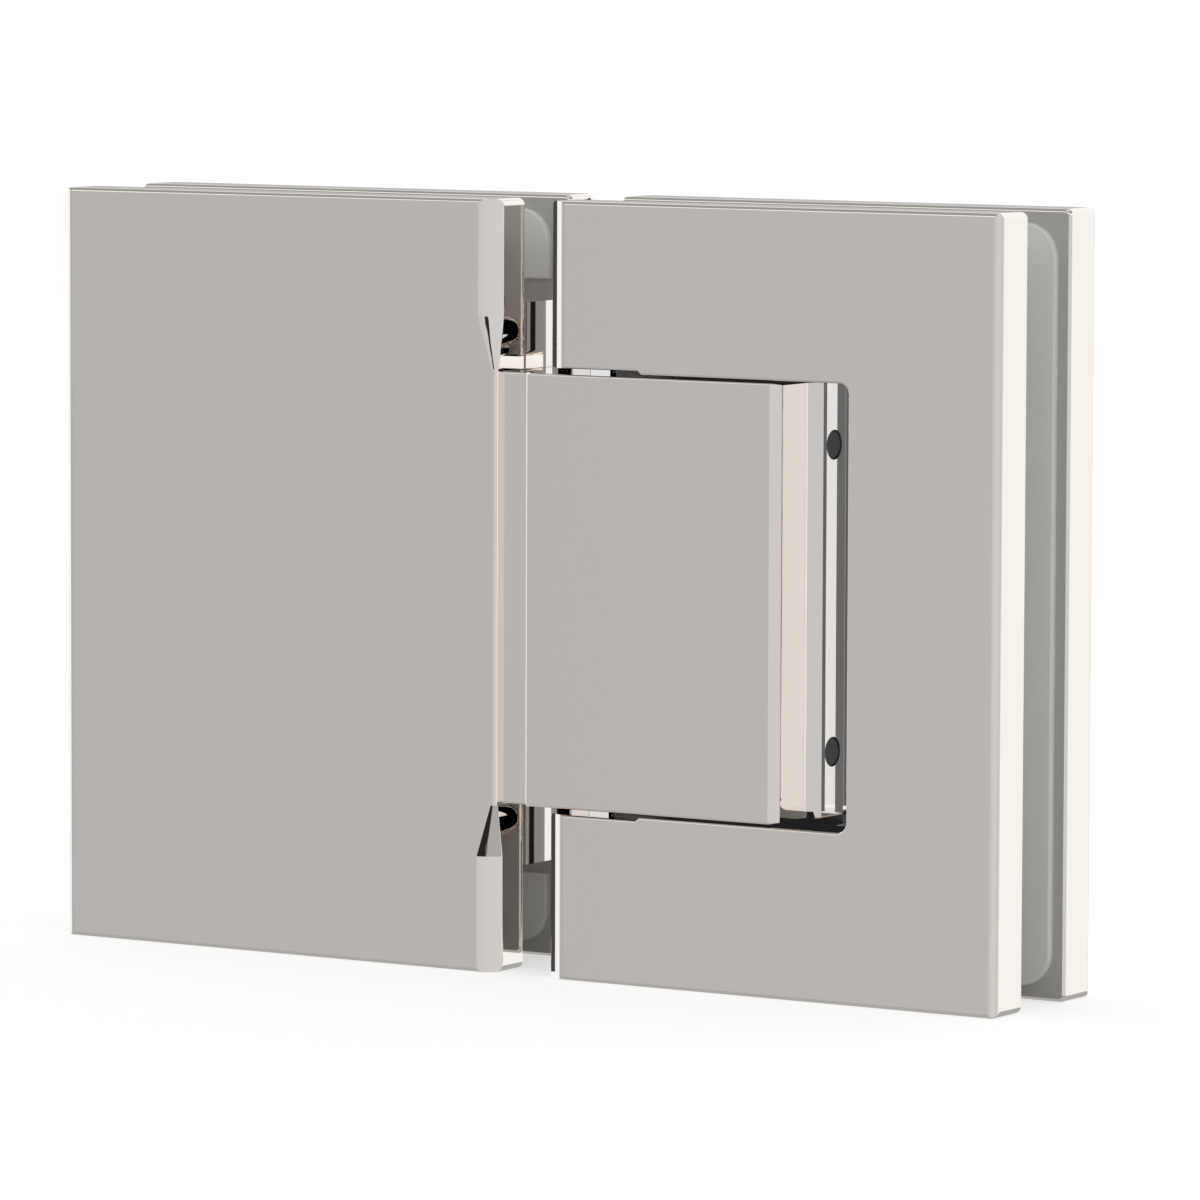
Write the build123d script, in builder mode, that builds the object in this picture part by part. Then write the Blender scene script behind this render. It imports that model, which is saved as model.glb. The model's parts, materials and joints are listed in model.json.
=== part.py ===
from build123d import *
from math import atan2, cos, pi, radians, sin, sqrt, tan
import os

# A 180 degree glass-to-glass hinge for frameless shower doors, with square corners.
# X runs across the hinge from the fixed panel (-X) to the door panel (+X), Y through the glass
# with the room side at -Y, Z up along the pivot. The origin is the middle of the whole hinge.

os.makedirs("parts", exist_ok=True)

# ---------------------------------------------------------------- driving dimensions (mm)
plate_height = 88.9            # 3-1/2 in
plate_thickness = 6.1
fixed_plate_width = 61.1
door_plate_width = 59.3
plate_gap = 6.6                # air between the two leaves, seen from the front
corner_radius = 0.8            # each plate's four corners, seen from the front
edge_radius = 0.45             # polished rounding round each plate's two faces
fixed_end_radius = 1.3         # softer rounding of the outer upright edge, fixed panel's plates
door_end_radius = 1.0          # the same, door's plates

glass_thickness = 8.0
gasket_thickness = 0.8
gasket_margin = 1.6            # bare rim of plate round a gasket
gasket_gap_margin = 2.7        # the same, on the edge beside the pivot
gasket_corner_radius = 4.0
gasket_edge_radius = 0.3

bevel_width = 2.1              # flat bevel on each plate's edge beside the pivot
bevel_depth = 1.45
bevel_front_radius = 3.3       # soft blend from the outer face into the bevel
bevel_side_radius = 0.3
bevel_entry_angle = radians(3) # the blend leaves the outer face at this small angle
bevel_full_length = 13.4       # full section from the plate's end to where it runs out
bevel_tip_length = 6.0         # the run-out
bevel_tip_share = 0.27         # how much of the section is left at its small end

cutout_depth = 39.9            # the U cut in each door plate
cutout_height = 51.0           # at the mouth, where the thrust washers are
cutout_mouth_length = 12.2
cutout_step = 0.4              # the cut is this much narrower, above and below, past the mouth
cutout_step_slope = 0.5        # run of the step along the cut
cutout_mouth_radius = 0.7
cutout_radius = 1.2
cutout_edge_radius = 0.3

block_clearance = 0.7          # block to door plates, above and below
neck_width = 3.9               # groove between the fixed plates and the block's pads
neck_recess = 1.0
neck_fillet = 0.55
pad_length = 33.5
pad_edge_radius = 0.4
pad_chamfer = 1.0
block_edge_radius = 0.12       # broken edges between the faces of the block's free end
block_end_radius = 0.25        # rounding of the block's top and bottom edges
rib_projection = 0.95          # raised rib down the middle of the block's free end
rib_flat_width = 4.8
rib_base_width = 8.3

tongue_length = 36.0           # flange of the block that is clamped between the fixed plates
tongue_height = 65.0           # the height of the notch cut in the glass
tongue_corner_radius = 3.0
tongue_clearance = 2.2         # gasket to tongue, so that nothing overhangs the glass's stop
boss_clearance = 0.5           # gasket to lug

pin_setback = 9.3              # pivot axis from the door plates' near edge
pin_diameter = 9.0
pin_clearance = 0.05           # radial, pin in bush
pin_relief = 0.4               # radial, pin in the block between the bushes
pin_seat_floor = 1.5           # metal left in a boss under the pin's flat
pin_end_gap = 0.4              # boss top to the pin's end
seat_clearance = 0.02          # bush in block, pin end in boss
bush_wall = 1.5
bush_length = 5.0
washer_width = 1.0
washer_gap = 0.1

boss_height = 6.0              # lugs inside the door plates that hold the pin's ends
boss_setback = 0.4             # lug's end from the plate's near edge
boss_split = 0.1               # each lug stops this short of the middle plane

detent_height = 17.4           # the two detents lie this far above and below the middle
detent_flat_depth = 0.4
detent_flat_height = 7.0
detent_gap = 0.1               # plunger nose to the round of the pin
plunger_diameter = 3.3
plunger_length = 6.0
plunger_bore_clearance = 0.05
plunger_dome_radius = 2.2
spring_wire = 0.45
spring_turns = 7
spring_side_gap = 0.1
plug_length = 4.6              # plain plug that closes a detent's bore and loads its spring
plug_recess = 0.15
plug_edge_radius = 0.2

screw_diameter = 4.0           # M4 low head socket screws
screw_head_diameter = 7.0
screw_head_height = 2.8
screw_head_recess = 0.2
screw_head_side_gap = 0.1
screw_head_chamfer = 0.3
screw_socket = 2.5
screw_socket_depth = 1.6
screw_thread_depth = 3.0       # thread engagement in a front plate
screw_tap_gap = 0.5            # air past the screw's end in a blind hole
screw_clearance = 0.25         # radial, shank in tongue and back plate
screw_tap_clearance = 0.03     # radial, shank in a front plate's thread
screw_boss_radius = 4.5
fixed_screw_spacing_x = 20.0
fixed_screw_spacing_z = 44.0
door_screw_from_pin = 9.0
door_screw_from_web = 7.0

tolerance = 0.01               # how near a place must be for an edge or corner to be picked by it

# ---------------------------------------------------------------- places worked out from them
slot_half = glass_thickness / 2 + gasket_thickness
outer_y = slot_half + plate_thickness
half_height = plate_height / 2
hinge_length = fixed_plate_width + plate_gap + door_plate_width
fixed_start = -hinge_length / 2
fixed_end = fixed_start + fixed_plate_width
door_start = fixed_end + plate_gap
door_end = door_start + door_plate_width

cutout_half = cutout_height / 2
cutout_end = door_start + cutout_depth
mouth_end = door_start + cutout_mouth_length
block_half = cutout_half - block_clearance
neck_half = outer_y - neck_recess
pad_start = fixed_end + neck_width
pad_end = pad_start + pad_length
rib_end = pad_end + rib_projection
tongue_start = fixed_end - tongue_length
tongue_half = tongue_height / 2

pin_x = door_start + pin_setback
pin_radius = pin_diameter / 2
bush_inner = pin_radius + pin_clearance
bush_outer = bush_inner + bush_wall
washer_top = cutout_half - washer_gap
boss_top = cutout_half + boss_height
pin_seat_half = slot_half - pin_seat_floor
plunger_nose = pin_x + pin_radius + detent_gap
plug_face = rib_end - plug_recess

boss_start = door_start + boss_setback
near_screw_x = pin_x + door_screw_from_pin
far_screw_x = cutout_end - door_screw_from_web
door_screw_z = cutout_half + screw_boss_radius
screw_head_seat = outer_y - screw_head_recess - screw_head_height
screw_length = screw_head_seat + slot_half + screw_thread_depth

# Workplanes that face out of the back, with X across and -Z up the sketch, at both screw patterns.
fixed_screw_plane = Plane(
    origin=((tongue_start + fixed_end) / 2, outer_y, 0), x_dir=(1, 0, 0), z_dir=(0, 1, 0)
)
door_screw_plane = Plane(
    origin=((near_screw_x + far_screw_x) / 2, outer_y, 0), x_dir=(1, 0, 0), z_dir=(0, 1, 0)
)
fixed_screw_spacing = (fixed_screw_spacing_x, fixed_screw_spacing_z)
door_screw_spacing = (far_screw_x - near_screw_x, 2 * door_screw_z)


def finish(piece, name):
    """Labels one finished piece and writes its STEP file."""
    piece.label = name
    export_step(piece, f"parts/{name}.step")


# ---------------------------------------------------------------- the bevel beside the pivot
def bevel_section(height, share=1):
    """What the bevel takes off a plate's corner, drawn at a height for a corner at the origin
    with the plate on its -X and +Y sides: a soft arc out of the face, the flat, a small arc.
    The share shrinks the whole section towards the corner."""
    slope = atan2(bevel_depth, bevel_width)
    width = share * bevel_width
    depth = share * bevel_depth
    reach = share * bevel_front_radius * tan((slope - bevel_entry_angle) / 2)
    side_reach = share * bevel_side_radius * tan((pi / 2 - slope) / 2)
    blend_start = (-width - reach * cos(bevel_entry_angle), -reach * sin(bevel_entry_angle))
    blend_end = (-width + reach * cos(slope), reach * sin(slope))
    flat_end = (-side_reach * cos(slope), depth - side_reach * sin(slope))
    side_end = (0, depth + side_reach)
    entry = (cos(bevel_entry_angle), sin(bevel_entry_angle))
    with BuildSketch(Plane.XY.offset(height)) as section:
        with BuildLine():
            TangentArc(blend_start, blend_end, tangent=entry)
            Line(blend_end, flat_end)
            TangentArc(flat_end, side_end, tangent=(cos(slope), sin(slope)))
            Polyline(side_end, (edge_radius, side_end[1]), (edge_radius, -edge_radius),
                     (blend_start[0], -edge_radius), blend_start)
        make_face()
    return section.sketch


with BuildPart() as full_bevel:
    add(bevel_section(-half_height - edge_radius))
    extrude(amount=plate_height + 2 * edge_radius)

bevel_run_out = half_height - bevel_full_length
with BuildPart() as pointed_bevel:
    add(bevel_section(bevel_run_out))
    extrude(amount=bevel_full_length + edge_radius)
    loft(sections=[bevel_section(bevel_run_out),
                   bevel_section(bevel_run_out - bevel_tip_length, bevel_tip_share)])


# ---------------------------------------------------------------- the plates
def plate_blank(start, end, soft_edge, soft_radius):
    """A plain front plate between two X positions, its outer face at -Y, with rounded corners, a
    polished rounding round both faces, and a softer one on one upright edge of the outer face,
    the one on the soft edge's side (Align.MIN for the left, Align.MAX for the right)."""
    with BuildPart() as blank:
        with BuildSketch(Plane.XZ.offset(slot_half)) as face:
            with Locations(((start + end) / 2, 0)):
                RectangleRounded(end - start, plate_height, corner_radius)
        extrude(amount=plate_thickness)
        fillet(blank.faces().filter_by(Axis.Y).edges(), edge_radius)
        with BuildSketch(Plane.XY.offset(-half_height)) as plan:
            with Locations(((start + end) / 2, -outer_y)):
                Rectangle(end - start, plate_thickness, align=(Align.CENTER, Align.MIN))
            outer_corners = plan.vertices().group_by(Axis.Y)[0].sort_by(Axis.X)
            fillet(outer_corners[0 if soft_edge == Align.MIN else -1], soft_radius)
        extrude(amount=plate_height, mode=Mode.INTERSECT)
    return blank.part


def fixed_leaf():
    """The rectangular plate on the fixed panel, as its front one, without screw holes."""
    with BuildPart() as leaf:
        add(plate_blank(fixed_start, fixed_end, Align.MIN, fixed_end_radius))
        with Locations((fixed_end, -outer_y, 0)):
            add(pointed_bevel.part, mode=Mode.SUBTRACT)
            add(pointed_bevel.part.mirror(Plane.XY), mode=Mode.SUBTRACT)
    return leaf.part


def pin_seat_sketch(clearance):
    """The pin's flatted end, grown by a clearance: a round between two flats."""
    Circle(pin_radius + clearance)
    Rectangle(2 * pin_diameter, 2 * (pin_seat_half + clearance), mode=Mode.INTERSECT)


def door_leaf():
    """The U-shaped plate on the door, as its front one, with the lugs that hold the pin's ends
    and carry the screws, without screw holes."""
    lug_end = far_screw_x
    with BuildPart() as leaf:
        add(plate_blank(door_start, door_end, Align.MAX, door_end_radius))
        with BuildSketch(Plane.XZ.offset(slot_half)) as opening:
            with BuildLine():
                upper = Polyline((door_start - corner_radius, 0),
                                 (door_start - corner_radius, half_height),
                                 (door_start, half_height), (door_start, cutout_half),
                                 (mouth_end, cutout_half),
                                 (mouth_end + cutout_step_slope, cutout_half - cutout_step),
                                 (cutout_end, cutout_half - cutout_step), (cutout_end, 0))
                mirror(upper, about=Plane.XZ)
            make_face()
            fillet(opening.vertices().group_by(Axis.X)[-1], cutout_radius)
        extrude(amount=plate_thickness, mode=Mode.SUBTRACT)
        outer_edges = leaf.edges().filter_by_position(Axis.Y, -outer_y, -outer_y)
        rim = outer_edges.filter_by(
            lambda edge: abs(edge.center().Z) <= cutout_half + tolerance
            and door_start + edge_radius < edge.center().X < cutout_end + tolerance
        )
        fillet(rim, cutout_edge_radius)
        with BuildSketch(Plane.XZ.offset(slot_half)):
            for level in (-1, 1):
                with Locations((door_start, level * cutout_half)):
                    Rectangle(2 * cutout_mouth_radius, 2 * cutout_mouth_radius)
                with Locations((door_start + cutout_mouth_radius,
                                level * (cutout_half + cutout_mouth_radius))):
                    Circle(cutout_mouth_radius, mode=Mode.SUBTRACT)
        extrude(amount=plate_thickness, mode=Mode.SUBTRACT)
        with Locations((door_start, -outer_y, 0)):
            add(full_bevel.part.mirror(Plane.YZ), mode=Mode.SUBTRACT)
        with BuildSketch(Plane.XZ.offset(boss_split)):
            for level in (-1, 1):
                with Locations(((boss_start + lug_end) / 2, level * (cutout_half + boss_height / 2))):
                    SlotOverall(lug_end - boss_start, boss_height)
                with Locations(*[(x, level * door_screw_z) for x in (near_screw_x, far_screw_x)]):
                    Circle(screw_boss_radius)
        extrude(amount=slot_half - boss_split)
        with BuildSketch(Plane.XY.offset(-boss_top)):
            with Locations((pin_x, 0)):
                pin_seat_sketch(seat_clearance)
        extrude(amount=2 * boss_top, mode=Mode.SUBTRACT)
    return leaf.part


def tapped_holes(plane, spacing):
    """Blind holes in a front plate for the screws of one pattern, drilled from the back."""
    with Locations(plane):
        with GridLocations(*spacing, 2, 2):
            with Locations((0, 0, screw_head_seat - outer_y)):
                Hole(screw_diameter / 2 + screw_tap_clearance, screw_length + screw_tap_gap)


def counterbored_holes(plane, spacing):
    """Counterbored holes through a back plate for the screws of one pattern."""
    with Locations(plane):
        with GridLocations(*spacing, 2, 2):
            CounterBoreHole(
                radius=screw_diameter / 2 + screw_clearance,
                counter_bore_radius=screw_head_diameter / 2 + screw_head_side_gap,
                counter_bore_depth=screw_head_recess + screw_head_height,
            )


with BuildPart() as fixed_front_plate:
    add(fixed_leaf())
    tapped_holes(fixed_screw_plane, fixed_screw_spacing)
finish(fixed_front_plate.part, "fixed_front_plate")

with BuildPart() as fixed_back_plate:
    mirror(fixed_leaf(), about=Plane.XZ)
    counterbored_holes(fixed_screw_plane, fixed_screw_spacing)
finish(fixed_back_plate.part, "fixed_back_plate")

with BuildPart() as door_front_plate:
    add(door_leaf())
    tapped_holes(door_screw_plane, door_screw_spacing)
finish(door_front_plate.part, "door_front_plate")

with BuildPart() as door_back_plate:
    mirror(door_leaf(), about=Plane.XZ)
    counterbored_holes(door_screw_plane, door_screw_spacing)
finish(door_back_plate.part, "door_back_plate")


# ---------------------------------------------------------------- the gaskets
gasket_half = half_height - gasket_margin


def gasket(back, notch, open_end, notch_half, bosses=()):
    """A front gasket: a C shape on a plate's inner face, its back at one X position, its notch
    running from another to the open end, with a scallop round each boss."""
    with BuildPart() as made:
        with BuildSketch(Plane.XZ.offset(slot_half)) as outline:
            with BuildLine():
                Polyline((open_end, gasket_half), (back, gasket_half), (back, -gasket_half),
                         (open_end, -gasket_half), (open_end, -notch_half),
                         (notch, -notch_half), (notch, notch_half), (open_end, notch_half),
                         close=True)
            make_face()
            corners = outline.vertices().sort_by(Axis.Y)
            arm_width = gasket_half - notch_half
            fillet(corners[:2] + corners[-2:], min(gasket_corner_radius, arm_width * 0.9))
            if bosses:
                with Locations(*bosses):
                    Circle(screw_boss_radius + boss_clearance, mode=Mode.SUBTRACT)
        extrude(amount=-gasket_thickness)
        fillet(made.faces().sort_by(Axis.Y)[-1].edges(), gasket_edge_radius)
    return made.part


fixed_gasket = gasket(
    back=fixed_start + gasket_margin,
    notch=tongue_start - tongue_clearance,
    open_end=fixed_end - gasket_gap_margin,
    notch_half=tongue_half + tongue_clearance,
)
finish(fixed_gasket, "fixed_front_gasket")
finish(fixed_gasket.mirror(Plane.XZ), "fixed_back_gasket")

door_gasket = gasket(
    back=door_end - gasket_margin,
    notch=cutout_end + boss_clearance,
    open_end=door_start + gasket_gap_margin,
    notch_half=boss_top + boss_clearance,
    bosses=[(x, z) for x in (near_screw_x, far_screw_x) for z in (-door_screw_z, door_screw_z)],
)
finish(door_gasket, "door_front_gasket")
finish(door_gasket.mirror(Plane.XZ), "door_back_gasket")


# ---------------------------------------------------------------- the pivot block
def block_corners(section, level):
    """The section's corners on both sides where a pad begins, at one distance from the middle."""
    return section.vertices().filter_by(
        lambda corner: abs(corner.X - pad_start) < tolerance
        and abs(abs(corner.Y) - level) < tolerance
    )


def free_end_corners(section):
    """The section's corners on both sides of the block's free end, from chamfer to rib."""
    return section.vertices().filter_by(lambda corner: corner.X > pad_end - pad_chamfer - tolerance)


with BuildPart() as pivot_block:
    # Section across the pivot: groove, pads flush with the plates, and a rib on the free end.
    with BuildSketch(Plane.XY.offset(-block_half)) as block_section:
        with BuildLine():
            half = Polyline((fixed_end, 0), (fixed_end, neck_half), (pad_start, neck_half),
                            (pad_start, outer_y), (pad_end - pad_chamfer, outer_y),
                            (pad_end, outer_y - pad_chamfer), (pad_end, rib_base_width / 2),
                            (rib_end, rib_flat_width / 2), (rib_end, 0))
            mirror(half, about=Plane.XZ)
        make_face()
        fillet(block_corners(block_section, neck_half), neck_fillet)
        fillet(block_corners(block_section, outer_y), pad_edge_radius)
        fillet(free_end_corners(block_section), block_edge_radius)
    extrude(amount=2 * block_half)
    fillet(pivot_block.faces().filter_by(Axis.Z).edges(), block_end_radius)
    with BuildSketch(Plane.XZ.offset(-slot_half)) as tongue_face:
        with Locations((fixed_end, 0)):
            Rectangle(tongue_length, tongue_height, align=(Align.MAX, Align.CENTER))
        fillet(tongue_face.vertices().group_by(Axis.X)[0], tongue_corner_radius)
    extrude(amount=2 * slot_half)
    with Locations((pin_x, 0, 0)):
        Hole(pin_radius + pin_relief)
    for level in (-1, 1):
        with Locations(Plane(origin=(pin_x, 0, level * block_half), z_dir=(0, 0, level))):
            Hole(bush_outer + seat_clearance, bush_length)
        with Locations(Plane(origin=(rib_end, 0, level * detent_height), z_dir=(1, 0, 0))):
            Hole(plunger_diameter / 2 + plunger_bore_clearance, rib_end - pin_x)
    with Locations(fixed_screw_plane):
        with GridLocations(*fixed_screw_spacing, 2, 2):
            Hole(screw_diameter / 2 + screw_clearance)
finish(pivot_block.part, "pivot_block")


# ---------------------------------------------------------------- the pin and its bearings
with BuildPart() as pivot_pin:
    with BuildSketch(Plane.XY.offset(-washer_top)):
        with Locations((pin_x, 0)):
            Circle(pin_radius)
    extrude(amount=2 * washer_top)
    with BuildSketch(Plane.XY.offset(-(boss_top - pin_end_gap))):
        with Locations((pin_x, 0)):
            pin_seat_sketch(0)
    extrude(amount=2 * (boss_top - pin_end_gap))
    for level in (-1, 1):
        with Locations((pin_x + pin_radius - detent_flat_depth, 0, level * detent_height)):
            Box(pin_radius, pin_diameter, detent_flat_height,
                align=(Align.MIN, Align.CENTER, Align.CENTER), mode=Mode.SUBTRACT)
finish(pivot_pin.part, "pivot_pin")


def ring(inner, outer, bottom, top):
    """A plain round ring on the pivot axis between two heights."""
    with BuildPart() as made:
        with BuildSketch(Plane.XY.offset(bottom)):
            with Locations((pin_x, 0)):
                Circle(outer)
                Circle(inner, mode=Mode.SUBTRACT)
        extrude(amount=top - bottom)
    return made.part


upper_bush = ring(bush_inner, bush_outer, block_half - bush_length, block_half)
finish(upper_bush, "upper_bush")
lower_bush = upper_bush.mirror(Plane.XY)
finish(lower_bush, "lower_bush")

washer_inner = bush_inner + pin_clearance
upper_washer = ring(washer_inner, washer_inner + washer_width, block_half, washer_top)
finish(upper_washer, "upper_thrust_washer")
lower_washer = upper_washer.mirror(Plane.XY)
finish(lower_washer, "lower_thrust_washer")

# ---------------------------------------------------------------- the detents
spring_start = plunger_nose + plunger_length
spring_end = plug_face - plug_length
spring_radius = plunger_diameter / 2 - spring_side_gap - spring_wire / 2

for place, height in (("upper", detent_height), ("lower", -detent_height)):
    with BuildPart() as plunger:
        with BuildSketch(Plane.XY.offset(height)) as plunger_section:
            with BuildLine():
                rise = plunger_dome_radius - sqrt(
                    plunger_dome_radius**2 - (plunger_diameter / 2) ** 2
                )
                shoulder = (plunger_nose + rise, plunger_diameter / 2)
                RadiusArc((plunger_nose, 0), shoulder, plunger_dome_radius)
                Polyline(shoulder, (spring_start, plunger_diameter / 2), (spring_start, 0),
                         (plunger_nose, 0))
            make_face()
        revolve(axis=Axis((0, 0, height), (1, 0, 0)))
    finish(plunger.part, f"{place}_detent_plunger")

    with BuildPart() as spring:
        coil_length = spring_end - spring_start - spring_wire
        with BuildLine() as coil:
            Helix(pitch=coil_length / spring_turns, height=coil_length, radius=spring_radius,
                  center=(spring_start + spring_wire / 2, 0, height), direction=(1, 0, 0))
        with BuildSketch(Plane(origin=coil.line @ 0, z_dir=coil.line % 0)):
            Circle(spring_wire / 2)
        sweep()
    finish(spring.part, f"{place}_detent_spring")

    with BuildPart() as plug:
        with BuildSketch(Plane(origin=(spring_end, 0, height), z_dir=(1, 0, 0))):
            Circle(plunger_diameter / 2)
        extrude(amount=plug_length)
        fillet(plug.edges().group_by(Axis.X)[-1], plug_edge_radius)
    finish(plug.part, f"{place}_detent_plug")

# ---------------------------------------------------------------- the clamp screws
with BuildPart() as clamp_screw:
    # One screw along -Z with the underside of its head at the origin.
    Cylinder(screw_diameter / 2, screw_length, align=(Align.CENTER, Align.CENTER, Align.MAX))
    Cylinder(screw_head_diameter / 2, screw_head_height,
             align=(Align.CENTER, Align.CENTER, Align.MIN))
    chamfer(clamp_screw.edges().group_by(Axis.Z)[-1], screw_head_chamfer)
    with BuildSketch(Plane.XY.offset(screw_head_height)):
        RegularPolygon(screw_socket / 2, 6, major_radius=False)
    extrude(amount=-screw_socket_depth, mode=Mode.SUBTRACT)


def clamp_screws(plane, spacing):
    """The screws of one pattern, each seated in its counterbore."""
    with BuildPart() as made:
        with Locations(plane):
            with GridLocations(*spacing, 2, 2):
                with Locations((0, 0, screw_head_seat - outer_y)):
                    add(clamp_screw.part)
    return made.part


finish(clamp_screws(fixed_screw_plane, fixed_screw_spacing), "fixed_clamp_screws")
finish(clamp_screws(door_screw_plane, door_screw_spacing), "door_clamp_screws")
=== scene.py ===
# %% [markdown]
# # A polished glass door hinge
#
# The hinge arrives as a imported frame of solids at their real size, in metres: two pairs of
# plates that clamp glass, a pivot block between them, and the pin, bushes and screws inside.
# The shapes stay as they are, and no piece is added: every form that shows is in the solids.
# This file gives each surface its finish, and sets up the studio and the camera. A finish could
# also be an image wrapped round the piece, but node materials stay sharp from any distance.

# %% Load the frame
import math

import bpy
from mathutils import Matrix, Vector
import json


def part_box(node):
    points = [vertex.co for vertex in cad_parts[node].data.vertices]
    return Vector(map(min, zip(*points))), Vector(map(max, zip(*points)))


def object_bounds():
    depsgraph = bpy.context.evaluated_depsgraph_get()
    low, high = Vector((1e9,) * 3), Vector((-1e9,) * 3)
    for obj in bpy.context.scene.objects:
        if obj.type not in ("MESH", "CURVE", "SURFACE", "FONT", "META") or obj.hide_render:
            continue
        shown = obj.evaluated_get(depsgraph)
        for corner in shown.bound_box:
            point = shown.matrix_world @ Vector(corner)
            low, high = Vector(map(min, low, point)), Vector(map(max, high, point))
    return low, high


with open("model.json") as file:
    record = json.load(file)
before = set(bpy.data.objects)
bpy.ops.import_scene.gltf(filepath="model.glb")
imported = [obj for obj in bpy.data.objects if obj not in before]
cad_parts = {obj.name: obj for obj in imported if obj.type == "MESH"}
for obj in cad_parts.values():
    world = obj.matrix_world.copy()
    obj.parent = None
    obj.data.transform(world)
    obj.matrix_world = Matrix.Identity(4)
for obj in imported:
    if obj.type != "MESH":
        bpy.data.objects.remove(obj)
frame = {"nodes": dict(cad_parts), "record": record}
cad_low, cad_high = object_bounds()
print("solids span", [round((b - a) * 1000, 1) for a, b in zip(cad_low, cad_high)], "mm")

# %% [markdown]
# ## Small helpers for materials
#
# A finish is a tree of shader nodes. Most of them here are the same few steps: a noise that
# reads Object coordinates, a ramp that narrows it to a useful range, and a bump that turns it
# into relief. Written once as helpers, they keep each finish short enough to read at a glance.

# %% Material helpers
MM = 0.001


def new_material(name):
    """An empty node material with a Principled shader, and its node tree."""
    material = bpy.data.materials.new(name)
    material.use_nodes = True
    tree = material.node_tree
    tree.nodes.clear()
    shader = tree.nodes.new("ShaderNodeBsdfPrincipled")
    output = tree.nodes.new("ShaderNodeOutputMaterial")
    tree.links.new(shader.outputs[0], output.inputs["Surface"])
    return material, tree, shader


def object_coordinates(tree, stretch=(1, 1, 1)):
    """Object coordinates, each axis multiplied by a number of its own."""
    place = tree.nodes.new("ShaderNodeTexCoord")
    mapping = tree.nodes.new("ShaderNodeMapping")
    mapping.inputs["Scale"].default_value = stretch
    tree.links.new(place.outputs["Object"], mapping.inputs["Vector"])
    return mapping.outputs["Vector"]


def noise(tree, grain, detail=3.0, stretch=(1, 1, 1)):
    """Cloudy noise whose blotches are about one grain across, in metres."""
    node = tree.nodes.new("ShaderNodeTexNoise")
    node.inputs["Scale"].default_value = 1 / grain
    node.inputs["Detail"].default_value = detail
    tree.links.new(object_coordinates(tree, stretch), node.inputs["Vector"])
    return node.outputs["Fac"]


def between(tree, value, low, high, start=0.3, end=0.7):
    """The value mapped so that start gives low and end gives high, held outside them."""
    node = tree.nodes.new("ShaderNodeMapRange")
    node.inputs["From Min"].default_value = start
    node.inputs["From Max"].default_value = end
    node.inputs["To Min"].default_value = low
    node.inputs["To Max"].default_value = high
    tree.links.new(value, node.inputs["Value"])
    return node.outputs["Result"]


def colour_between(tree, value, low, high):
    """A blend from the low colour to the high one as the value goes from 0 to 1."""
    node = tree.nodes.new("ShaderNodeMix")
    node.data_type = "RGBA"
    node.inputs[6].default_value = (*low, 1)
    node.inputs[7].default_value = (*high, 1)
    tree.links.new(value, node.inputs["Factor"])
    return node.outputs[2]


def bump(tree, shader, layers):
    """Relief for the shader from (height, depth in metres) layers, one laid over the other."""
    below = None
    for height, depth in layers:
        node = tree.nodes.new("ShaderNodeBump")
        node.inputs["Distance"].default_value = depth
        tree.links.new(height, node.inputs["Height"])
        if below:
            tree.links.new(below, node.inputs["Normal"])
        below = node.outputs["Normal"]
    tree.links.new(below, shader.inputs["Normal"])


print("material helpers ready, 1 mm is", MM, "m")

# %% [markdown]
# ## Polished plate
#
# The plates and the pivot block are solid brass, buffed and then plated bright. A buffed face
# is never quite flat: it swells and dips by microns over a centimetre or so, which is what
# makes a reflected edge waver. Two layers of very low relief give that, and the roughness
# drifts a little where the mop pressed harder. The warmth is in the metal's own colour.
#
# The mop doesn't reach everywhere. The faces turned to the glass keep the fine blasted grain
# they had before plating. A second material on those faces would need a slot of its own, so a
# mask made from the place on the piece picks them out, and one material serves every solid in
# this finish.

# %% Blasted mask
SAME_PLACE = 0.01 * MM
inner_face_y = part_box("fixed_back_plate")[0].y


def near(tree, value, place, reach):
    """1 where the value is within reach of a place, otherwise 0."""
    node = tree.nodes.new("ShaderNodeMath")
    node.operation = "COMPARE"
    node.inputs[1].default_value = place
    node.inputs[2].default_value = reach
    tree.links.new(value, node.inputs[0])
    return node.outputs[0]


def combine(tree, operation, first, second):
    """One arithmetic step on two values."""
    node = tree.nodes.new("ShaderNodeMath")
    node.operation = operation
    tree.links.new(first, node.inputs[0])
    tree.links.new(second, node.inputs[1])
    return node.outputs[0]


def blasted_places(tree):
    """1 on the faces turned to the glass, which lie at one depth on either side of it."""
    split = tree.nodes.new("ShaderNodeSeparateXYZ")
    tree.links.new(object_coordinates(tree), split.inputs[0])
    side = tree.nodes.new("ShaderNodeMath")
    side.operation = "ABSOLUTE"
    tree.links.new(split.outputs["Y"], side.inputs[0])
    return near(tree, side.outputs[0], inner_face_y, SAME_PLACE)


print("faces turned to the glass are at", round(inner_face_y / MM, 2), "mm")

# %% Polished chrome
CHROME = (0.955, 0.905, 0.855)
BLASTED = (0.56, 0.555, 0.54)
BLASTED_METALLIC = 0.15

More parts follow.
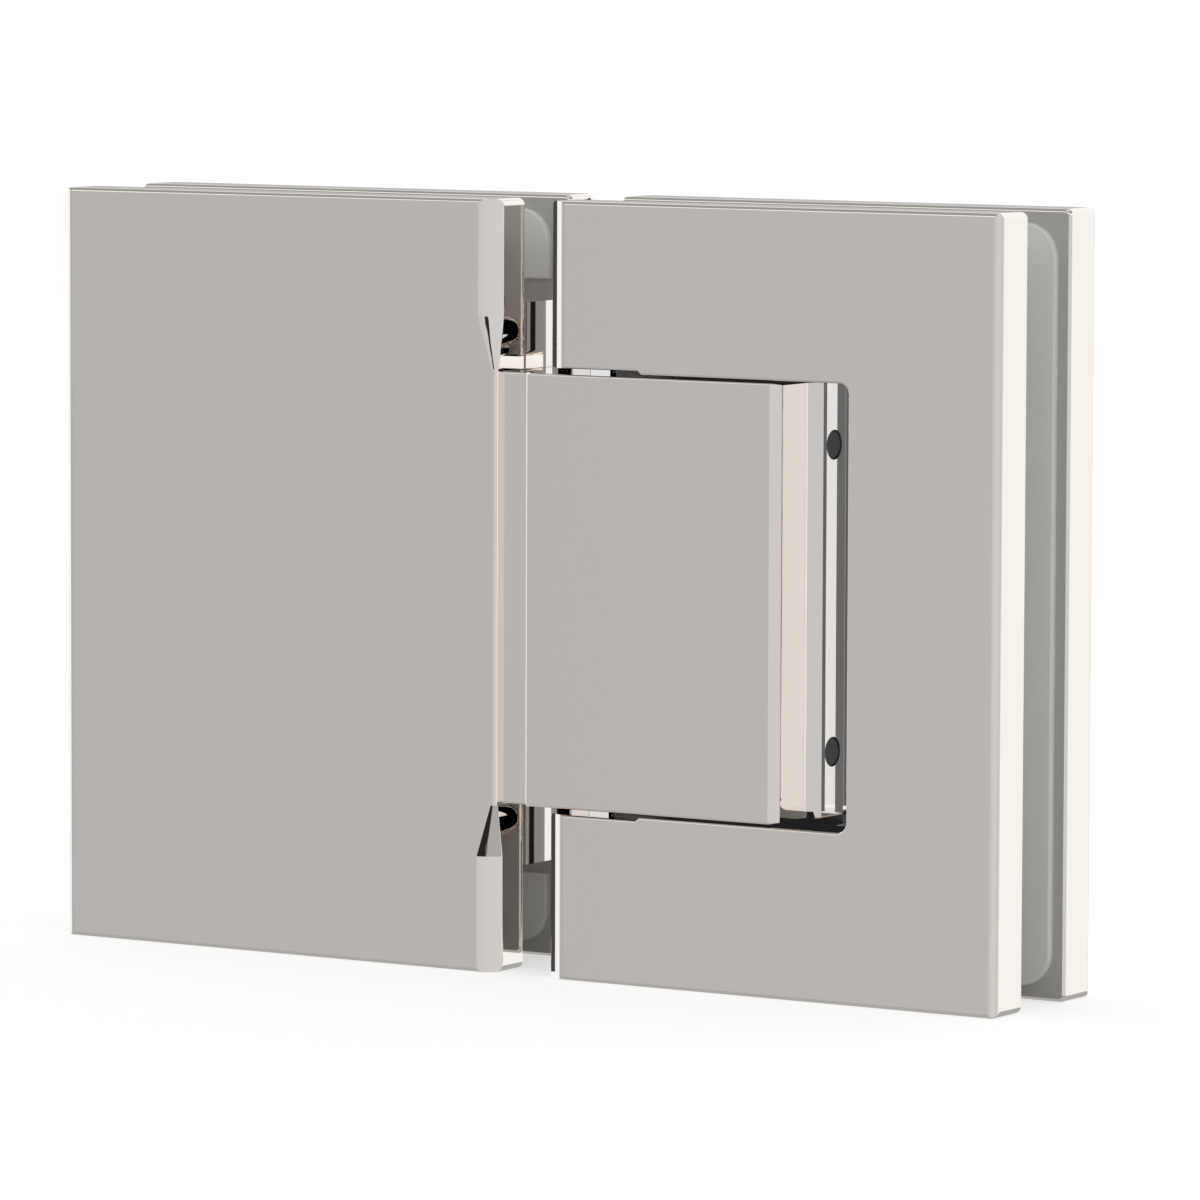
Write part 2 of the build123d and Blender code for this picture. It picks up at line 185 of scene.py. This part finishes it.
polished, tree, shader = new_material("polished_chrome")
blasted = blasted_places(tree)
grain = noise(tree, 0.12 * MM, 2.0)
tree.links.new(colour_between(tree, blasted, CHROME, BLASTED), shader.inputs["Base Color"])
tree.links.new(between(tree, blasted, 1.0, BLASTED_METALLIC, 0, 1), shader.inputs["Metallic"])
mop_marks = between(tree, noise(tree, 9 * MM, 2.0), 0.015, 0.04)
roughness = tree.nodes.new("ShaderNodeMix")
tree.links.new(blasted, roughness.inputs["Factor"])
tree.links.new(mop_marks, roughness.inputs[2])
tree.links.new(between(tree, grain, 0.55, 0.75), roughness.inputs[3])
tree.links.new(roughness.outputs[0], shader.inputs["Roughness"])
swell = noise(tree, 14 * MM, 0.0)
ripple = noise(tree, 2.5 * MM, 1.0)
blasted_relief = combine(tree, "MULTIPLY", blasted, grain)
bump(tree, shader, [(swell, 0.012 * MM), (ripple, 0.0012 * MM), (blasted_relief, 0.01 * MM)])
print("polished chrome reflects", CHROME)

# %% [markdown]
# ## Vinyl gaskets
#
# A thin pad of clear vinyl keeps the glass off the metal. It is slightly milky and lies flat
# against a grey face. Glass-like refraction between two mirrors would be slow and noisy, so a
# pale body with a soft sheen stands for it, clouded a little as moulded vinyl is.

# %% Clear gasket
vinyl, tree, shader = new_material("clear_gasket")
shader.inputs["IOR"].default_value = 1.5
cloud = noise(tree, 4 * MM, 4.0)
tree.links.new(between(tree, cloud, 0.32, 0.5), shader.inputs["Roughness"])
tree.links.new(colour_between(tree, cloud, (0.88, 0.875, 0.85), (0.95, 0.945, 0.92)),
               shader.inputs["Base Color"])
bump(tree, shader, [(noise(tree, 0.4 * MM, 3.0), 0.01 * MM)])
print("gasket material", vinyl.name)

# %% [markdown]
# ## The pieces inside
#
# Bushes and washers are natural nylon, the pin and plungers ground stainless steel, the springs
# drawn wire, the clamp screws bright plate and the two plugs dark grey plastic, whose near-black
# also paints the shade of the deep bores they close. Each is small, so one layer of fine relief and
# a drifting roughness are enough. The metals differ only in numbers, so one function makes all
# three.

# %% Inner metals
def metal(name, colour, rough_low, rough_high, grain, depth, stretch=(1, 1, 1)):
    """A metal with a drifting roughness and one layer of relief, stretched into machining
    lines where the stretch is uneven."""
    material, tree, shader = new_material(name)
    shader.inputs["Metallic"].default_value = 1.0
    shader.inputs["Base Color"].default_value = (*colour, 1)
    marks = noise(tree, grain, 4.0, stretch)
    tree.links.new(between(tree, marks, rough_low, rough_high), shader.inputs["Roughness"])
    bump(tree, shader, [(marks, depth)])
    return material


plated_screw = metal("plated_screw", (0.80, 0.78, 0.76), 0.10, 0.22, 0.6 * MM, 0.002 * MM)
stainless = metal("stainless_steel", (0.62, 0.61, 0.60), 0.18, 0.34, 0.8 * MM, 0.004 * MM,
                  stretch=(1, 1, 14))
spring_wire = metal("spring_steel", (0.45, 0.45, 0.46), 0.25, 0.4, 0.3 * MM, 0.003 * MM)
print("metals", plated_screw.name, stainless.name, spring_wire.name)

# %% Plug and nylon
# The plugs' near-black is partly their own colour and partly painted shade of the bores they close.
dark_plug, tree, shader = new_material("dark_plug")
cloud = noise(tree, 1.2 * MM, 3.0)
tree.links.new(colour_between(tree, cloud, (0.072, 0.075, 0.080), (0.098, 0.100, 0.104)),
               shader.inputs["Base Color"])
tree.links.new(between(tree, cloud, 0.42, 0.6), shader.inputs["Roughness"])
bump(tree, shader, [(noise(tree, 0.2 * MM), 0.01 * MM)])

nylon, tree, shader = new_material("nylon")
shader.inputs["Base Color"].default_value = (0.86, 0.85, 0.81, 1)
shader.inputs["Subsurface Weight"].default_value = 0.2
shader.inputs["Subsurface Radius"].default_value = (1.2 * MM, 1.0 * MM, 0.8 * MM)
tree.links.new(between(tree, noise(tree, 1.5 * MM), 0.38, 0.52), shader.inputs["Roughness"])
bump(tree, shader, [(noise(tree, 0.3 * MM), 0.008 * MM)])
print("plastics", dark_plug.name, nylon.name)

# %% [markdown]
# ## A finish for each solid
#
# The record that comes with the frame says which material slot each solid has. Reading it keeps
# the finishes right if a solid is renamed or added, where a list of names here would go stale.

# %% Give each solid its finish
FINISHES = {
    "polished_chrome": polished,
    "clear_gasket": vinyl,
    "nylon": nylon,
    "plated_screw": plated_screw,
    "stainless_steel": stainless,
    "spring_steel": spring_wire,
    "dark_plug": dark_plug,
}

for part in frame["record"]["subparts"]:
    solid = frame["nodes"][part["node"]]
    for slot in solid.material_slots:
        slot.material = FINISHES[part["material_slot"]]

# %% [markdown]
# ## The studio
#
# A mirror shows its surroundings, so the studio is most of the look. It is a light tent: grey in
# front of the hinge and on the ground, white to its sides and just above, with a grey strip
# straight behind and a grey ring high up. Two narrow black cards give the bevels their accents.
# Lamps and paper could build the same, but a painted world renders cleaner, so the world shader
# paints the tent from the direction of each ray. The rays that the camera and clear things send
# straight out meet plain white.

# %% The tent's paint
# A stop is (compass degrees, light), and a stretch is a few stops in the order of the compass.
# Each band is one ramp of stops, and blends into the next band up between two heights. A height
# is the upward part of the ray's direction, from -1 to 1.
def even(light):
    """Stops of one light all round the compass."""
    return [(-180, light), (180, light)]


WHITE_REST = [(-180, 1.0), (-170, 1.0)]
GREY_LEFT = [(-160, 0.45), (-133, 0.46), (-122, 0.50), (-112, 0.54)]
GREY_FRONT = GREY_LEFT + [(-88, 0.62)]
BLACK_CARD = [(-75, 0.62), (-74, 0.02), (-66, 0.02), (-65, 0.65)]
RIGHT_HAND = [(-45, 0.66), (-5, 0.60), (8, 0.60), (22, 0.97)]
GREY_BEHIND = [(92, 0.97), (106, 0.42), (138, 0.42), (152, 1.0)]
LOW_BLACK_CARD = [(-102, 0.42), (-98, 0.02), (-68, 0.02), (-66, 0.42)]
GROUND, HIGH_GREY, OVERHEAD = even(0.42), even(0.32), even(0.85)
BANDS = [
    (-0.38, -0.36, GROUND),
    (-0.26, -0.24, GROUND[:1] + LOW_BLACK_CARD + GROUND[1:]),
    (0.03, 0.08, WHITE_REST + GREY_FRONT + RIGHT_HAND + GREY_BEHIND + [(180, 1.0)]),
    (0.26, 0.34, WHITE_REST + GREY_LEFT + BLACK_CARD + RIGHT_HAND + [(180, 1.0)]),
    (0.52, 0.62, even(1.0)),
    (0.88, 0.95, HIGH_GREY),
    (None, None, OVERHEAD),
]


def compass_ramp(tree, turn, stops):
    """A colour ramp over the compass from (degrees, light) stops."""
    ramp = tree.nodes.new("ShaderNodeValToRGB")
    while len(ramp.color_ramp.elements) < len(stops):
        ramp.color_ramp.elements.new(0.5)
    for element, (degrees, light) in zip(ramp.color_ramp.elements, stops):
        element.position = (degrees + 180) / 360
        element.color = (light, light, light, 1)
    tree.links.new(turn, ramp.inputs["Fac"])
    return ramp.outputs["Color"]


def tent_colour(tree, direction):
    """The tent's light from a direction: the band that its height falls in, each blended into
    the next between the band's own two heights."""
    split = tree.nodes.new("ShaderNodeSeparateXYZ")
    tree.links.new(direction, split.inputs[0])
    angle = combine(tree, "ARCTAN2", split.outputs["Y"], split.outputs["X"])
    turn = between(tree, angle, 0, 1, -math.pi, math.pi)
    colour = compass_ramp(tree, turn, BANDS[0][2])
    for (start, end, _), (_, _, stops) in zip(BANDS, BANDS[1:]):
        mix = tree.nodes.new("ShaderNodeMix")
        mix.data_type = "RGBA"
        tree.links.new(between(tree, split.outputs["Z"], 0, 1, start, end), mix.inputs["Factor"])
        tree.links.new(colour, mix.inputs[6])
        tree.links.new(compass_ramp(tree, turn, stops), mix.inputs[7])
        colour = mix.outputs[2]
    return colour


def sees_plain_white(tree):
    """1 for rays that come straight from the camera or through something clear, otherwise 0."""
    path = tree.nodes.new("ShaderNodeLightPath")
    return combine(tree, "MAXIMUM", path.outputs["Is Camera Ray"],
                   path.outputs["Is Transmission Ray"])


print("the tent has", len(BANDS), "bands")

# %% World
world = bpy.data.worlds.new("tent")
bpy.context.scene.world = world
world.use_nodes = True
tree = world.node_tree
tree.nodes.clear()
background = tree.nodes.new("ShaderNodeBackground")
output = tree.nodes.new("ShaderNodeOutputWorld")
place = tree.nodes.new("ShaderNodeTexCoord")
choose = tree.nodes.new("ShaderNodeMix")
choose.data_type = "RGBA"
tree.links.new(sees_plain_white(tree), choose.inputs["Factor"])
tree.links.new(tent_colour(tree, place.outputs["Generated"]), choose.inputs[6])
choose.inputs[7].default_value = (1, 1, 1, 1)
tree.links.new(choose.outputs[2], background.inputs["Color"])
tree.links.new(background.outputs[0], output.inputs["Surface"])
print("world is", world.name)

# %% [markdown]
# ## The floor
#
# The hinge stands on a sheet of white paper. Lit paper alone would look grey beside the tent, so
# the camera sees it with a little light of its own, and it still takes the hinge's shadow. In
# mirrors the tent's own ground stands for it, which keeps the low reflections calm.

# %% Floor
FLOOR_HALF = 3.0
PAPER = (0.8, 0.8, 0.8, 1)
PAPER_GLOW = 0.55

floor_mesh = bpy.data.meshes.new("floor")
floor_level = cad_low.z
floor_mesh.from_pydata(
    [(x, y, floor_level) for x, y in ((-1, -1), (1, -1), (1, 1), (-1, 1))], [], [(0, 1, 2, 3)]
)
floor_mesh.transform(Matrix.Diagonal((FLOOR_HALF, FLOOR_HALF, 1, 1)))
floor = bpy.data.objects.new("floor", floor_mesh)
bpy.context.scene.collection.objects.link(floor)
floor.visible_glossy = False

paper, tree, shader = new_material("white_paper")
shader.inputs["Base Color"].default_value = PAPER
shader.inputs["Roughness"].default_value = 0.9
shader.inputs["Specular IOR Level"].default_value = 0.0
shader.inputs["Emission Color"].default_value = (1, 1, 1, 1)
tree.links.new(between(tree, sees_plain_white(tree), 0, PAPER_GLOW, 0, 1),
               shader.inputs["Emission Strength"])
floor_mesh.materials.append(paper)
print("floor at", round(floor_level / MM, 2), "mm")

# %% [markdown]
# ## Painted reflections
#
# Polished metal needs something dark and something light to mirror, or its openings look washed
# out. Small glowing cards paint those reflections, painted shade from the dark ones and painted
# light from the bright ones: in the gap between the two leaves, beside the pivot block's rib, at
# the back of the door plates' cut, and in the thin gaps over and under the block. Lamps would
# light the faces too. A card that only reflections see changes nothing else: it throws no shadow
# and never shows directly.

# %% Painted reflection helpers
CARD_TINT = (0.96, 0.98, 1.0, 1)
BLACK = (0, 0, 0, 1)


def flag(name, corners, light, spread=None):
    """A flat card through four corners in mm, seen only in mirrors, whose glow is a painted
    reflection
    of light or shade: an even light, or one that grows along X from the spread's first place to its
    second."""
    mesh = bpy.data.meshes.new(name)
    mesh.from_pydata([Vector(corner) * MM for corner in corners], [], [(0, 1, 2, 3)])
    card = bpy.data.objects.new(name, mesh)
    bpy.context.scene.collection.objects.link(card)
    card.visible_camera = False
    card.visible_diffuse = False
    card.visible_transmission = False
    card.visible_volume_scatter = False
    card.visible_shadow = False
    material, tree, shader = new_material(name)
    shader.inputs["Base Color"].default_value = BLACK
    shader.inputs["Roughness"].default_value = 1.0
    shader.inputs["Specular IOR Level"].default_value = 0.0
    shader.inputs["Emission Color"].default_value = CARD_TINT
    if spread:
        split = tree.nodes.new("ShaderNodeSeparateXYZ")
        tree.links.new(object_coordinates(tree), split.inputs[0])
        strength = between(tree, split.outputs["X"], 0, light, spread[0] * MM, spread[1] * MM)
        tree.links.new(strength, shader.inputs["Emission Strength"])
    else:
        shader.inputs["Emission Strength"].default_value = light
    mesh.materials.append(material)


def upright_painted_reflection(name, left, right, y, half, light, spread=None):
    """A painted reflection card that faces the front, from left to right at one depth, in mm."""
    flag(name, [(left, y, -half), (right, y, -half), (right, y, half), (left, y, half)], light,
         spread)


def lying_painted_reflection(name, left, right, front, back, z, light):
    """A painted reflection card that lies level at one height, in mm."""
    flag(name, [(left, front, z), (right, front, z), (right, back, z), (left, back, z)], light)


def side_painted_reflection(name, x, front, back, half, light):
    """A painted reflection card that faces sideways at one place along X, from front to back, in
    mm.
    """
    flag(name, [(x, front, -half), (x, back, -half), (x, back, half), (x, front, half)], light)


print("a flag has the tint", CARD_TINT[:3])

# %% Painted reflections between the leaves
# The gap is open from front to back, and its two walls mirror each other. One card fills the
# back of it, black on the left and slate on the right: painted shade for the walls to mirror. Two
# pairs of narrow cards set edge on give the walls painted bright and black stripes, painted light
# and painted shade. A short pair paints light into the thin gaps' mouths.
PLATE_HALF = 44.3
SLATE, WHITE, BLACK_LIGHT = 0.27, 0.97, 0.01
GAP_LEFT, GAP_RIGHT, GAP_BACK = -2.3, 4.1, 9.3
STRIPE_X, STRIPE_BACK = 3.0, 9.25
EDGE_X, EDGE_MIDDLE = 1.0, -9.3
MOUTH_Y, MOUTH_LIGHT = 9.2, 0.8
MOUTH_CORNERS = ((GAP_LEFT, 24.5), (0.2, 24.5), (0.2, 26.9), (GAP_LEFT, 26.9))

upright_painted_reflection("leaf_gap_painted_shade", GAP_LEFT, GAP_RIGHT, GAP_BACK, PLATE_HALF, SLATE, spread=(2.2, 2.3))
side_painted_reflection("leaf_gap_white", STRIPE_X, 7.85, STRIPE_BACK, PLATE_HALF, WHITE)
side_painted_reflection("leaf_gap_grey", STRIPE_X + 0.05, 7.35, 8.1, PLATE_HALF, SLATE)
side_painted_reflection("leaf_gap_black", STRIPE_X + 0.05, 8.1, STRIPE_BACK, PLATE_HALF, BLACK_LIGHT)
side_painted_reflection("leaf_edge_light", EDGE_X, -10.85, EDGE_MIDDLE, PLATE_HALF, WHITE)
side_painted_reflection("leaf_edge_painted_shade", EDGE_X, EDGE_MIDDLE, -8.6, PLATE_HALF, 0.06)
for side in (-1, 1):
    flag(f"mouth_light_{side + 1}", [(x, MOUTH_Y, side * z) for x, z in MOUTH_CORNERS], MOUTH_LIGHT)
print("flags between the leaves run to", PLATE_HALF, "mm above and below the middle")

# %% Painted reflections beside the rib
# The free end of the block mirrors the back of the cut, painted here: painted light beside its far
# wall, painted shade elsewhere, and two slate cards nearer by whose painted shade darkens the
# rib's edges.
BLOCK_HALF = 24.9
RIB_Y, CUT_BACK = 4.5, 10.5
CUT_MIDDLE, CUT_END = 41.0, 44.1

upright_painted_reflection("rib_painted_shade_right", 36.3, 38.25, RIB_Y, BLOCK_HALF, 0.15)
upright_painted_reflection("rib_painted_shade_left", 39.6, 40.06, RIB_Y, BLOCK_HALF, 0.13)
upright_painted_reflection("slot_dark", 36.0, CUT_MIDDLE, CUT_BACK, BLOCK_HALF, 0.12)
upright_painted_reflection("slot_light", CUT_MIDDLE, CUT_END, CUT_BACK + 0.1, BLOCK_HALF, 0.84)
print("flags beside the rib run to", BLOCK_HALF, "mm above and below the middle")

# %% Painted shade in the thin gaps
# The block and the cut's edges face each other 0.7 mm apart and would mirror the tent without
# end. A black card in each gap stops that, painted shade for the dark between two close parts.
THIN_GAP_Z, THIN_GAP_LIGHT = 24.95, 0.015
GAP_CARD_START, BLOCK_END, CUT_CARD_END = 20.0, 35.1, 44.0
FRONT, BACK, SLOT_STRIP_BACK = -10.4, 10.4, -3.0

lying_painted_reflection("upper_gap_painted_shade", GAP_CARD_START, CUT_CARD_END, FRONT, BACK, THIN_GAP_Z, THIN_GAP_LIGHT)
lying_painted_reflection("lower_gap_painted_shade", GAP_CARD_START, BLOCK_END, FRONT, BACK, -THIN_GAP_Z, THIN_GAP_LIGHT)
lying_painted_reflection("lower_slot_painted_shade", BLOCK_END, CUT_CARD_END, FRONT, SLOT_STRIP_BACK, -THIN_GAP_Z,
           THIN_GAP_LIGHT)
print("thin gap flags lie", THIN_GAP_Z, "mm above and below the middle")

# %% [markdown]
# ## The camera
#
# A long lens keeps upright edges nearly parallel. It stands in front and to the right, a little
# above, and looks slightly down. A Track To constraint could aim it, but three angles written
# out, its turn, dip and roll, hold the view exactly.

# %% Camera
LENS = 232.7
SENSOR_WIDTH = 36
CAMERA_PLACE = Vector((0.48057, -0.75073, 0.07913))
TURN, DIP, ROLL = math.radians(32.367), math.radians(5.202), math.radians(0.198)

camera_data = bpy.data.cameras.new("camera")
camera_data.lens = LENS
camera_data.sensor_width = SENSOR_WIDTH
camera_data.clip_start = 0.01
camera = bpy.data.objects.new("camera", camera_data)
bpy.context.scene.collection.objects.link(camera)
camera.matrix_world = (
    Matrix.Translation(CAMERA_PLACE)
    @ Matrix.Rotation(TURN, 4, "Z")
    @ Matrix.Rotation(math.pi / 2 - DIP, 4, "X")
    @ Matrix.Rotation(ROLL, 4, "Z")
)
bpy.context.scene.camera = camera
bpy.context.scene.view_settings.view_transform = "Standard"
print("camera is", round(CAMERA_PLACE.length, 3), "m from the hinge's middle")
